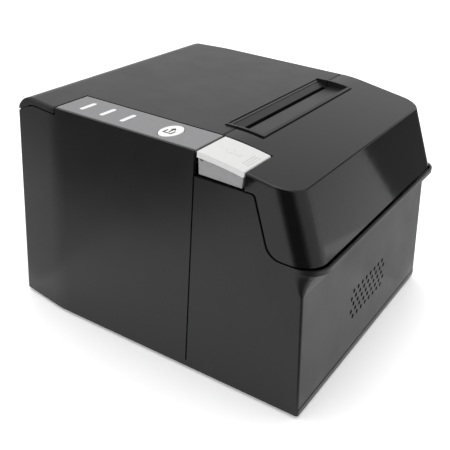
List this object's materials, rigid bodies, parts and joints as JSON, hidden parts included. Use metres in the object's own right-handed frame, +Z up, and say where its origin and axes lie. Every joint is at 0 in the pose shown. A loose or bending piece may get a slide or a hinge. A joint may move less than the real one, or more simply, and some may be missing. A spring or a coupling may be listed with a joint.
{
  "type": "receipt printer",
  "caption": "Desktop thermal receipt printer with a front-hinged paper cover, top paper exit, release lever, feed button and indicator strip.",
  "frame": {"origin": "centre of the bounding box at the plane the feet stand on", "axes": "+Z up, -Y towards the front with the sloping paper cover, -X the control strip side"},
  "size_m": [0.145, 0.167, 0.1102],
  "materials": {
    "casing": "fine-textured charcoal",
    "cover_gloss": "polished black",
    "strip_grey": "satin mid grey",
    "lever_light": "satin light grey",
    "lever_mid": "satin grey",
    "button_white": "satin white",
    "window_white": "clear white light pipe",
    "inner_plastic": "plain black",
    "gear_nylon": "natural nylon",
    "steel": "brushed",
    "zinc_steel": "zinc plated sheet",
    "aluminium": "extruded",
    "rubber": "matt",
    "board_green": "solder mask",
    "socket_black": "moulded"
  },
  "bodies": {
    "housing": {"base_plate": "casing", "front_housing": "casing", "rear_housing": "casing", "top_cover": "casing", "exit_guide_rear": "casing", "connector_panel": "inner_plastic", "rubber_feet": "rubber", "case_screws": "steel", "hinge_brackets": "inner_plastic", "idler_axle": "steel", "feed_motor": "zinc_steel", "thermal_print_head": "aluminium", "heat_sink": "aluminium", "head_springs": "steel", "mechanism_chassis": "zinc_steel", "paper_bucket": "inner_plastic", "paper_low_sensor": "socket_black", "cutter_tray": "zinc_steel", "cutter_motor": "zinc_steel", "control_strip": "strip_grey", "indicator_windows": "window_white", "panel_board": "board_green", "lever_pin": "steel", "lever_bracket": "inner_plastic", "lever_spring": "steel", "power_inlet": "socket_black", "usb_socket": "steel", "network_socket": "steel", "drawer_socket": "socket_black", "main_board": "board_green", "buzzer": "socket_black", "switch_frame": "socket_black"},
    "lid": {"lid_shell": "cover_gloss", "lid_liner": "inner_plastic", "exit_frame_front": "casing", "fixed_blade": "steel", "platen_bearings": "gear_nylon", "hinge_pins": "steel"},
    "platen": {"platen_shaft": "steel", "platen_rubber": "rubber", "platen_gear": "gear_nylon"},
    "idler": {"idler_gear": "gear_nylon"},
    "pinion": {"motor_pinion": "gear_nylon", "motor_spindle": "steel"},
    "lever": {"lever_cap": "lever_light", "lever_arm": "lever_mid"},
    "button": {"feed_button": "button_white"},
    "rocker": {"power_rocker": "socket_black"},
    "cutter": {"cutter_blade": "steel", "blade_carrier": "gear_nylon"},
    "cutter_drive": {"cutter_pinion": "gear_nylon"}
  },
  "joints": [
    {"name": "lid_hinge", "type": "hinge", "parent": "housing", "child": "lid", "pos_m": [0, -0.0745, 0.078], "axis": [1, 0, 0], "range_deg": [0, 92]},
    {"name": "platen_spin", "type": "hinge", "parent": "lid", "child": "platen", "pos_m": [0, -0.029, 0.087], "axis": [1, 0, 0], "continuous": true},
    {"name": "idler_spin", "type": "hinge", "parent": "housing", "child": "idler", "pos_m": [0.0666, -0.01924, 0.06507], "axis": [1, 0, 0], "continuous": true},
    {"name": "pinion_spin", "type": "hinge", "parent": "housing", "child": "pinion", "pos_m": [0.0666, 0.00125, 0.06869], "axis": [1, 0, 0], "continuous": true},
    {"name": "lever_lift", "type": "hinge", "parent": "housing", "child": "lever", "pos_m": [-0.0617, -0.0254, 0.1064], "axis": [-1, 0, 0], "range_deg": [0, 25], "stiffness_Nm_per_rad": 0.01, "springref_deg": -11.46},
    {"name": "button_press", "type": "slide", "parent": "housing", "child": "button", "axis": [0, 0, -1], "range_m": [0, 0.0012], "stiffness_N_per_m": 400, "springref_m": -0.001},
    {"name": "rocker_tilt", "type": "hinge", "parent": "housing", "child": "rocker", "pos_m": [0.052, 0.0801, 0.019], "axis": [0, 0, -1], "range_deg": [0, 14]},
    {"name": "cutter_slide", "type": "slide", "parent": "housing", "child": "cutter", "axis": [0, -1, 0], "range_m": [0, 0.0055]},
    {"name": "cutter_pinion_spin", "type": "hinge", "parent": "housing", "child": "cutter_drive", "pos_m": [-0.0358, 0.0055, 0.1011], "axis": [0, 0, 1], "range_deg": [-66, 0]}
  ],
  "couplings": [
    {"joint": "idler_spin", "follows": "platen_spin", "ratio": -0.5},
    {"joint": "pinion_spin", "follows": "platen_spin", "ratio": 1.6667},
    {"joint": "cutter_pinion_spin", "follows": "cutter_slide", "rad_per_m": -208.33}
  ]
}
